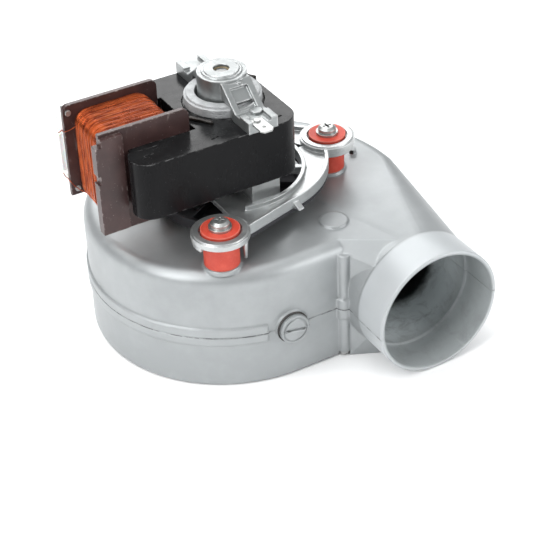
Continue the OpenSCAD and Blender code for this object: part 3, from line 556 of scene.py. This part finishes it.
@dataclass(frozen=True)
class Moulded(Finish):
    """Moulded plastic with scuffs, pale specks and shiny rubbed edges.

    Args:
        scuff: how much of the surface is scuffed, 0 to 1.
        scuff_color: colour of scuffs and specks.
    """

    scuff: float = 0.3
    scuff_color: Rgb = (0.42, 0.36, 0.34)

    def build(self) -> bpy.types.Material:
        """Makes the material."""
        graph = Graph(self.name)
        tone = graph.noise(11 * MM, 4.0, 0.6)
        fine = graph.noise(self.grain, 4.0, 0.6)
        streak = graph.noise(3.2 * MM, 3.0, 0.6, (1.0, 1.0, 0.3)).step(0.62, 0.74)
        speck = graph.cells(1.6 * MM).step(0.12, 0.04) * graph.noise(4 * MM).step(0.45, 0.6)
        worn = graph.edge(1.0 * MM) * graph.noise(1.6 * MM, 3.0).step(0.5, 0.68)
        color = graph.mix(tone.step(0.3, 0.75), self.color, self.second)
        mark = (streak * 0.35 + speck * 0.8 + worn * 0.75) * self.scuff
        color = graph.mix(mark.clamp(), color, self.scuff_color)
        return graph.finish(
            Base_Color=color,
            Metallic=self.metallic,
            Roughness=(self.roughness + (fine - 0.5) * 0.15 + (tone - 0.5) * 0.15).clamp(),
            Normal=graph.bump(fine + tone * 0.8, self.depth, graph.round_normal(self.soften)),
        )


@dataclass(frozen=True)
class Enamel(Finish):
    """Enamelled winding wire, each turn a little different in tone."""

    def build(self) -> bpy.types.Material:
        """Makes the material."""
        graph = Graph(self.name)
        turns = graph.noise(0.8 * MM, 1.0, 0.4, (0.12, 1.0, 0.12))
        patch = graph.noise(7 * MM, 3.0)
        color = graph.mix(turns.step(0.3, 0.7), self.color, self.second)
        color = graph.mix(patch.step(0.55, 0.8) * 0.4, color, (0.64, 0.19, 0.045))
        return graph.finish(
            Base_Color=color,
            Metallic=self.metallic,
            Roughness=(self.roughness + (patch - 0.5) * 0.15).clamp(),
            Coat_Weight=0.12,
            Coat_Roughness=0.2,
            Normal=graph.bump(patch, self.depth),
        )


@dataclass(frozen=True)
class Silicone(Finish):
    """Red silicone rubber with a dusty bloom."""

    def build(self) -> bpy.types.Material:
        """Makes the material."""
        graph = Graph(self.name)
        bloom = graph.noise(5 * MM, 5.0, 0.65)
        fine = graph.noise(self.grain, 3.0)
        dust = graph.cells(0.9 * MM).step(0.14, 0.04)
        color = graph.mix(bloom.step(0.35, 0.8), self.color, self.second)
        color = graph.mix(dust * 0.22 + graph.edge(1.2 * MM) * 0.25, color, (0.93, 0.45, 0.36))
        return graph.finish(
            Base_Color=color,
            Roughness=(self.roughness + (bloom - 0.5) * 0.2).clamp(),
            Subsurface_Weight=0.08,
            Subsurface_Scale=0.002,
            Normal=graph.bump(fine + bloom, self.depth, graph.round_normal(self.soften)),
        )


@dataclass(frozen=True)
class Nylon(Finish):
    """Milky nylon that lets some light into it."""

    def build(self) -> bpy.types.Material:
        """Makes the material."""
        graph = Graph(self.name)
        cloud = graph.noise(4 * MM, 4.0, 0.6)
        fine = graph.noise(self.grain, 3.0)
        color = graph.mix(cloud.step(0.3, 0.8), self.color, self.second)
        return graph.finish(
            Base_Color=color,
            Roughness=(self.roughness + (cloud - 0.5) * 0.2).clamp(),
            Subsurface_Weight=0.35,
            Subsurface_Scale=0.003,
            Normal=graph.bump(fine + cloud, self.depth, graph.round_normal(self.soften)),
        )


@dataclass(frozen=True)
class Paper(Finish):
    """Plain pale studio floor."""

    def build(self) -> bpy.types.Material:
        """Makes the material."""
        graph = Graph(self.name)
        fine = graph.noise(self.grain, 3.0)
        color = graph.mix(graph.noise(0.4, 2.0), self.color, self.second)
        return graph.finish(
            Base_Color=color,
            Roughness=(self.roughness + (fine - 0.5) * 0.1).clamp(),
            Normal=graph.bump(fine, self.depth),
        )


class Coat(Enum):
    """The finishes of the fan, by the record's material slot."""

    BRACKET = DieCast("bracket_zinc", (0.49, 0.505, 0.505), (0.34, 0.35, 0.35), 0.85, 0.36,
                      0.5 * MM, 0.06 * MM, 0.6 * MM)
    BRACKET_TOP = DieCast("bracket_top_zinc", (0.31, 0.325, 0.325), (0.19, 0.20, 0.20), 0.85, 0.38,
                          0.5 * MM, 0.05 * MM, 0.7 * MM)
    STEEL = Finish("zinc_plated_steel", (0.42, 0.43, 0.42), (0.56, 0.57, 0.56), 0.9, 0.34)
    SHAFT = Finish("ground_steel", (0.16, 0.16, 0.158), (0.30, 0.30, 0.295), 0.9, 0.3)
    WHEEL = Finish("aluminised_sheet", (0.50, 0.51, 0.52), (0.36, 0.36, 0.36), 1.0, 0.38)
    RUBBER_DARK = Moulded("gasket_fibre", (0.03, 0.03, 0.03), (0.07, 0.065, 0.06), 0.0, 0.75)
    GRAPHITE = Finish("pressed_graphite", (0.07, 0.07, 0.075), (0.12, 0.12, 0.12), 0.3, 0.5)
    BRONZE = Finish("sintered_bronze", (0.42, 0.27, 0.13), (0.56, 0.38, 0.2), 1.0, 0.45)
    FELT = Moulded("oiled_felt", (0.42, 0.33, 0.2), (0.55, 0.46, 0.3), 0.0, 0.9, 0.4 * MM, 0.3 * MM)
    LAMINATION = Varnish("varnished_sheets", (0.0035, 0.0035, 0.004), (0.010, 0.010, 0.011), 0.0,
                         0.25, 0.5 * MM, 0.03 * MM, 0.5 * MM)
    CAGE = RawCage("raw_cast_ring", (0.52, 0.535, 0.54), (0.42, 0.43, 0.435), 0.5, 0.6,
                   1 * MM, 0.28 * MM, 0.8 * MM)
    COPPER = Finish("varnished_copper", (0.010, 0.009, 0.008), (0.045, 0.03, 0.024), 0.4, 0.2)
    WIRE = Enamel("enamelled_wire", (0.21, 0.030, 0.007), (0.46, 0.092, 0.022), 0.9, 0.28,
                  depth=0.02 * MM)
    TAPE = Moulded("coil_tape", (0.42, 0.26, 0.09), (0.55, 0.36, 0.14), 0.0, 0.35)
    BOBBIN = Moulded("bobbin_nylon", (0.036, 0.0165, 0.0155), (0.060, 0.029, 0.027), 0.0, 0.36,
                     0.7 * MM, 0.05 * MM, 0.4 * MM, scuff=0.8)
    NYLON = Nylon("milky_nylon", (0.66, 0.68, 0.67), (0.78, 0.79, 0.78), 0.0, 0.3)
    SILICONE = Silicone("red_silicone", (0.50, 0.045, 0.024), (0.60, 0.085, 0.05), 0.0, 0.5,
                        0.4 * MM, 0.04 * MM, 0.6 * MM)
    FAN_BLACK = Moulded("fan_black", (0.012, 0.012, 0.013), (0.03, 0.03, 0.032), 0.0, 0.42)

    def material(self) -> bpy.types.Material:
        """The finish's material, made once."""
        held = bpy.data.materials.get(self.value.name)
        return held if held is not None else self.value.build()


# ---------- shared building ----------


def dress(piece: bpy.types.Object, material: bpy.types.Material) -> None:
    """Gives a piece one material.

    Args:
        piece: the mesh.
        material: what it is made of.
    """
    piece.data.materials.clear()
    piece.data.materials.append(material)


def mesh_piece(name: str, bm: bmesh.types.BMesh, material: bpy.types.Material) -> bpy.types.Object:
    """Turns mesh code into a smooth shaded object.

    Args:
        name: the piece's name.
        bm: its geometry; it is freed.
        material: what it is made of.

    Returns:
        The linked object.
    """
    bmesh.ops.recalc_face_normals(bm, faces=bm.faces)
    mesh = bpy.data.meshes.new(name)
    bm.to_mesh(mesh)
    bm.free()
    for polygon in mesh.polygons:
        polygon.use_smooth = True
    piece = bpy.data.objects.new(name, mesh)
    bpy.context.scene.collection.objects.link(piece)
    dress(piece, material)
    return piece


def sweep(bm: bmesh.types.BMesh, path: Sequence[Vector], radius: float, sides: int, closed: bool) -> None:
    """Adds a round wire along a path.

    Args:
        bm: where it is added.
        path: its centre line.
        radius: the wire's radius.
        sides: corners of its section.
        closed: whether the path is a loop.
    """
    count = len(path)
    rings = []
    side = Vector((0, 1, 0))
    for i, point in enumerate(path):
        after = path[(i + 1) % count] if closed or i + 1 < count else point
        before = path[i - 1] if closed or i else point
        along = (after - before).normalized()
        side = (side - along * side.dot(along)).normalized()
        other = along.cross(side)
        rings.append([
            bm.verts.new(point + radius * (math.cos(a) * side + math.sin(a) * other))
            for a in (2 * math.pi * k / sides for k in range(sides))
        ])
    for i in range(count if closed else count - 1):
        first, second = rings[i], rings[(i + 1) % count]
        for k in range(sides):
            bm.faces.new((first[k], first[(k + 1) % sides], second[(k + 1) % sides], second[k]))
    if not closed:
        bm.faces.new(rings[0])
        bm.faces.new(list(reversed(rings[-1])))


@dataclass
class Assembly:
    """A group of CAD nodes that are dressed together.

    Args:
        nodes: every CAD node by name.
        coats: the finish of each node in the group.
    """

    nodes: dict[str, bpy.types.Object]
    coats: dict[str, Coat] = field(default_factory=dict)

    def build(self) -> list[str]:
        """Dresses the group's nodes.

        Returns:
            The names of the pieces.
        """
        for name, coat in self.coats.items():
            dress(self.nodes[name], coat.material())
        return list(self.coats)


@dataclass
class Volute(Assembly):
    """The two castings, their screws, plug and inlet ring."""

    record: dict[str, Any] = field(default_factory=dict)
    coats: dict[str, Coat] = field(default_factory=lambda: {
        "shell_screws": Coat.STEEL, "plug_gasket": Coat.RUBBER_DARK, "inlet_ring": Coat.WHEEL,
        "inlet_rivets": Coat.STEEL, "shaft_seal": Coat.GRAPHITE, "seal_plate": Coat.STEEL,
        "seal_rivets": Coat.STEEL})

    def build(self) -> list[str]:
        """Dresses the castings and the rest.

        Returns:
            The names of the pieces.
        """
        outlet = next(m for m in self.record["mounts"] if m["name"] == "outlet")
        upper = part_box("upper_shell")
        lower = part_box("lower_shell")
        cast = CastShell(
            "cast_aluminium", (0.335, 0.352, 0.358), (0.445, 0.465, 0.472), 0.55, 0.42,
            0.55 * MM, 0.045 * MM, 1.5 * MM,
            joint=upper[0].z, duct_joint=lower[1].z, mouth=tuple(outlet["pos_m"]),
            bore=outlet["dims"]["r_mm"] * MM - 1.8 * MM,
            step_x=outlet["pos_m"][0] - outlet["dims"]["r_mm"] * MM + 6 * MM,
        ).build()
        for name in ("upper_shell", "lower_shell", "side_plug"):
            dress(self.nodes[name], cast)
        return ["upper_shell", "lower_shell", "side_plug", *super().build()]


@dataclass
class Wheel(Assembly):
    """The impeller, the shaft and the cooling fan."""

    coats: dict[str, Coat] = field(default_factory=lambda: {
        "impeller_hub": Coat.STEEL, "impeller_disc": Coat.WHEEL, "impeller_blades": Coat.WHEEL,
        "impeller_shroud": Coat.WHEEL, "impeller_rivets": Coat.STEEL, "impeller_nut": Coat.STEEL,
        "impeller_washer": Coat.STEEL, "shaft": Coat.SHAFT, "cooling_fan": Coat.FAN_BLACK,
        "fan_clip": Coat.STEEL})


@dataclass
class Mounting(Assembly):
    """The three soft mounts of the motor."""

    coats: dict[str, Coat] = field(default_factory=lambda: {
        "mount_bushes": Coat.SILICONE, "bush_sleeves": Coat.STEEL, "bush_washers": Coat.STEEL,
        "mount_screws": Coat.STEEL})


@dataclass
class Motor(Assembly):
    """Brackets, bearings, stator and rotor."""

    coats: dict[str, Coat] = field(default_factory=lambda: {
        "lower_bracket": Coat.BRACKET, "lower_bearing": Coat.BRONZE, "lower_bearing_clip": Coat.STEEL,
        "lower_felt": Coat.FELT, "upper_bracket": Coat.BRACKET_TOP, "upper_bearing": Coat.BRONZE,
        "upper_bearing_clip": Coat.STEEL, "upper_felt": Coat.FELT, "stator_stack": Coat.LAMINATION,
        "coil_core": Coat.LAMINATION, "rotor_core": Coat.LAMINATION, "rotor_cage": Coat.CAGE,
        # The guard plate is dressed black: a dark sheet under the bracket that stands in for the shade
        # beneath it.
        "guard_plate": Coat.FAN_BLACK,
        "shading_rings": Coat.COPPER, "stator_rivets": Coat.BRACKET_TOP, "earth_tab": Coat.STEEL,
        "earth_rivet": Coat.STEEL, "thrust_washers": Coat.BRONZE})


@dataclass
class Coil(Assembly):
    """The bobbin and its winding of round wire.

    Args:
        wire: wire diameter in metres.
        corner: corner radius of the winding in metres.
        straight: points along each straight side.
        turn: points round each corner.
        drift: how far a turn wanders sideways, in pitches.
        wave: how far neighbouring turns rise and fall together, in metres.
        slack: how loosely a turn lies, in metres.
        belly: how far the turns bulge at the middle of the outer side, in metres.
        end: radius of the wire's thin ends in metres.
        seed: seed of the small differences between turns.
    """

    wire: float = 0.44 * MM
    corner: float = 6.4 * MM
    straight: int = 7
    turn: int = 8
    drift: float = 0.3
    wave: float = 0.32 * MM
    slack: float = 0.16 * MM
    belly: float = 0.55 * MM
    end: float = 0.2 * MM
    seed: int = 11
    coats: dict[str, Coat] = field(default_factory=lambda: {
        "bobbin": Coat.BOBBIN, "coil_tape": Coat.TAPE, "terminal_block": Coat.NYLON,
        "terminal_tabs": Coat.STEEL, "flange_pins": Coat.STEEL})

    def build(self) -> list[str]:
        """Dresses the bobbin and winds the coil.

        Returns:
            The names of the pieces.
        """
        names = super().build()
        low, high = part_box("coil_winding")
        self.low, self.high = low, high
        names.append(self.winding())
        names.append(self.leads())
        return names

    def loop(self, inset: float) -> list[tuple[Vector, Vector]]:
        """A rounded rectangle round the coil, as points and outward directions.

        Args:
            inset: how far it lies inside the winding's box.

        Returns:
            (point, outward direction) pairs in the XZ plane at Y = 0.
        """
        radius = max(self.corner - inset, 0.8 * MM)
        x0, x1 = self.low.x + inset + radius, self.high.x - inset - radius
        z0, z1 = self.low.z + inset + radius, self.high.z - inset - radius
        spots = []
        corners = [(x1, z1, 0.0), (x0, z1, 90.0), (x0, z0, 180.0), (x1, z0, 270.0)]
        for n, (x, z, start) in enumerate(corners):
            for k in range(self.turn + 1):
                angle = math.radians(start + 90.0 * k / self.turn)
                out = Vector((math.cos(angle), 0, math.sin(angle)))
                spots.append((Vector((x, 0, z)) + radius * out, out))
            after = corners[(n + 1) % 4]
            angle = math.radians(start + 90.0)
            out = Vector((math.cos(angle), 0, math.sin(angle)))
            first = spots[-1][0]
            last = Vector((after[0], 0, after[1])) + radius * out
            for k in range(1, self.straight):
                spots.append((first.lerp(last, k / self.straight), out))
        return spots

    def winding(self) -> str:
        """Winds the coil: a filled body, a close inner layer and a livelier outer layer.

        Returns:
            The piece's name.
        """
        rng = random.Random(self.seed)
        bm = bmesh.new()
        depth = self.high.y - self.low.y
        turns = int(depth / (self.wire * 1.01))
        pitch = depth / turns
        self.fill(bm, self.wire * 1.9)
        for layer, inset in enumerate((self.wire * 1.45, self.wire * 0.62)):
            spots = self.loop(inset)
            count = len(spots)
            for n in range(turns - layer):
                y = self.low.y + pitch * (n + 0.5 + 0.5 * layer)
                drift = rng.uniform(-self.drift, self.drift) * pitch
                phase = rng.uniform(0, 2 * math.pi)
                lift = noise.noise(Vector((n * 0.33, layer * 7.0, 0.0))) * self.wave + 0.05 * MM
                path = []
                for k, (spot, out) in enumerate(spots):
                    turn = 2 * math.pi * k / count
                    sway = drift * math.sin(turn + phase)
                    slack = noise.noise(Vector((n * 0.7, k * 0.16, layer * 5.0))) * self.slack
                    belly = (1 - (2 * (n + 0.5) / turns - 1) ** 4) * max(0.0, -out.x) * self.belly
                    rise = (lift + slack + belly) * layer
                    edge = min(n, turns - layer - 1 - n)
                    if layer and edge < 3:
                        rise -= (3 - edge) * 0.12 * MM
                    path.append(spot + out * rise + Vector((0, y + sway * (1 if edge > 1 else 0), 0)))
                sweep(bm, path, self.wire / 2, WIRE_SIDES, True)
        piece = mesh_piece("winding_turns", bm, Coat.WIRE.material())
        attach(piece, "housing")
        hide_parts("coil_winding")
        return piece.name

    def fill(self, bm: bmesh.types.BMesh, inset: float) -> None:
        """Adds the closed ring of copper under the turns.

        Args:
            bm: where it is added.
            inset: how far it lies inside the winding's box.
        """
        outer = [spot for spot, _ in self.loop(inset)]
        inner = [spot for spot, _ in self.loop(inset + 3 * MM)]
        y0, y1 = self.low.y + 0.3 * MM, self.high.y - 0.3 * MM
        rings = []
        for path, y in ((outer, y0), (outer, y1), (inner, y1), (inner, y0)):
            rings.append([bm.verts.new(spot + Vector((0, y, 0))) for spot in path])
        count = len(outer)
        for a, b in zip(rings, rings[1:] + rings[:1]):
            for k in range(count):
                bm.faces.new((a[k], a[(k + 1) % count], b[(k + 1) % count], b[k]))

    def leads(self) -> str:
        """Runs the two thin ends of the wire over the rear flange to the terminals.

        Returns:
            The piece's name.
        """
        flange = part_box("bobbin")
        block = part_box("terminal_block")
        bm = bmesh.new()
        edge_x = flange[0].x - 0.35 * MM
        for start_z, cross_z, end_z in (
            (self.high.z - 3.0 * MM, self.high.z - 9.0 * MM, block[1].z - 3 * MM),
            (self.low.z + 4.0 * MM, self.low.z + 9.0 * MM, block[0].z + 3 * MM),
        ):
            start = Vector((self.low.x + 0.6 * MM, self.high.y - 6 * MM, start_z))
            cross = Vector((edge_x, flange[1].y - 1.6 * MM, cross_z))
            over = Vector((edge_x + 0.1 * MM, flange[1].y + 0.4 * MM, cross_z))
            end = Vector((block[0].x - 0.1 * MM, block[0].y + 1.6 * MM, end_z))
            path = []
            for a, b, sag in ((start, cross, 0.8), (cross, over, 0.0), (over, end, 0.3)):
                for k in range(8):
                    t = k / 8
                    low = Vector((-0.4, 0, -1.0)) * (sag * MM * 4 * t * (1 - t))
                    path.append(a.lerp(b, t) + low)
            path.append(end)
            sweep(bm, path, self.end, WIRE_SIDES, False)
        piece = mesh_piece("winding_ends", bm, Coat.WIRE.material())
        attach(piece, "housing")
        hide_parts("lead_wires")
        return piece.name


# ---------- studio ----------


@dataclass
class Softbox:
    """One large soft light.

    Args:
        name: its name.
        place: where it hangs, in metres.
        power: its power in watts.
        size: its two sides in metres.
        aim: the point that it faces.
        tint: its colour.
    """

    name: str
    place: tuple[float, float, float]
    power: float
    size: tuple[float, float] = (0.6, 0.6)
    aim: tuple[float, float, float] = (0.0, 0.0, 0.05)
    tint: Rgb = (1.0, 1.0, 1.0)

    def build(self) -> bpy.types.Object:
        """Hangs the light."""
        data = bpy.data.lights.new(self.name, "AREA")
        data.shape = "RECTANGLE"
        data.size, data.size_y = self.size
        data.energy = self.power
        data.color = self.tint
        lamp = bpy.data.objects.new(self.name, data)
        lamp.location = self.place
        lamp.rotation_euler = (Vector(self.aim) - Vector(self.place)).to_track_quat("-Z", "Y").to_euler()
        bpy.context.scene.collection.objects.link(lamp)
        return lamp


@dataclass
class Studio:
    """Camera, lights, world and floor.

    Args:
        azimuth: camera's turn about Z in degrees, 0 looks along +Y.
        elevation: its height above the horizon in degrees.
        roll: its turn about its own axis in degrees.
        distance: its distance from the target in metres.
        aside: its sideways and upward offset in metres.
        target: the point it is built round, in metres.
        lens: its focal length in millimetres.
        sky: the surround's colours from the horizon up, by height.
        glow: the surround's strength.
        lights: the soft lights.
    """

    azimuth: float = -29.03
    elevation: float = 35.56
    roll: float = -2.22
    distance: float = 0.7228
    aside: tuple[float, float] = (0.01975, -0.02721)
    target: tuple[float, float, float] = (0.0009, 0.0, 0.05)
    lens: float = 104.3
    sky: tuple[tuple[float, Rgb], ...] = ((0.35, (0.42, 0.43, 0.44)), (0.9, (0.95, 0.96, 0.97)))
    glow: float = 0.82
    lights: tuple[Softbox, ...] = (
        Softbox("overhead", (-0.25, 0.15, 1.0), 7.5, (0.9, 0.9)),
        Softbox("key_left", (-0.95, -0.35, 0.75), 8.0, (0.4, 0.7)),
        Softbox("fill_right", (0.75, -0.85, 0.45), 6.5, (0.6, 0.6)),
        Softbox("rear", (0.35, 1.0, 0.6), 5.0, (0.8, 0.4)),
    )

    def build(self) -> list[str]:
        """Sets up everything round the fan.

        Returns:
            The names of the stage pieces.
        """
        self.camera()
        for light in self.lights:
            light.build()
        self.world()
        return [self.floor()]

    def camera(self) -> None:
        """Places the camera."""
        az, el, roll = map(math.radians, (self.azimuth, self.elevation, self.roll))
        back = Vector((math.sin(az) * math.cos(el), -math.cos(az) * math.cos(el), math.sin(el)))
        flat = Vector((math.cos(az), math.sin(az), 0.0))
        above = back.cross(flat)
        right = math.cos(roll) * flat + math.sin(roll) * above
        up = -math.sin(roll) * flat + math.cos(roll) * above
        place = Vector(self.target) + back * self.distance + right * self.aside[0] + up * self.aside[1]
        data = bpy.data.cameras.new("camera")
        data.lens = self.lens
        data.sensor_width = 36.0
        data.clip_start, data.clip_end = 0.05, 20.0
        eye = bpy.data.objects.new("camera", data)
        eye.matrix_world = Matrix((
            (right.x, up.x, back.x, place.x),
            (right.y, up.y, back.y, place.y),
            (right.z, up.z, back.z, place.z),
            (0.0, 0.0, 0.0, 1.0),
        ))
        bpy.context.scene.collection.objects.link(eye)
        bpy.context.scene.camera = eye

    def world(self) -> None:
        """A pale surround, brighter overhead than at the horizon."""
        world = bpy.data.worlds.new("surround")
        world.use_nodes = True
        nodes = Nodes(world.node_tree)
        coord = nodes.add("ShaderNodeTexCoord", {}, {})
        split = nodes.add("ShaderNodeSeparateXYZ", {}, {0: coord.outputs["Generated"]})
        ramp = nodes.add("ShaderNodeValToRGB", {"stops": self.sky}, {0: split.outputs[2]})
        back = nodes.add("ShaderNodeBackground", {}, {"Color": ramp.outputs[0], "Strength": self.glow})
        nodes.add("ShaderNodeOutputWorld", {}, {"Surface": back.outputs[0]})
        bpy.context.scene.world = world
        bpy.context.scene.view_settings.view_transform = "Standard"

    def floor(self) -> str:
        """Lays the floor.

        Returns:
            The floor's name.
        """
        low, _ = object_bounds()
        bm = bmesh.new()
        bmesh.ops.create_grid(bm, x_segments=8, y_segments=8, size=4.0,
                              matrix=Matrix.Translation((0, 0, low.z - 0.05 * MM)))
        paper = Paper("studio_paper", (0.93, 0.93, 0.93), (0.95, 0.95, 0.95), 0.0, 0.8,
                      1 * MM, 0.01 * MM).build()
        piece = mesh_piece("studio_floor", bm, paper)
        piece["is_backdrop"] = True
        return piece.name


def main() -> None:
    """Builds the fan's looks."""
    logging.basicConfig(level=logging.INFO, format="%(name)s: %(message)s")
    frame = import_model()
    nodes = frame["nodes"]
    parts: Iterable[tuple[str, Callable[[], list[str]]]] = (
        ("volute", Volute(nodes, record=frame["record"]).build),
        ("wheel", Wheel(nodes).build),
        ("mounting", Mounting(nodes).build),
        ("motor", Motor(nodes).build),
        ("coil", Coil(nodes).build),
        ("studio", Studio().build),
    )
    for title, build in parts:
        for name in build():
            LOG.info("%s: %s", title, name)


if __name__ == "__main__":
    main()
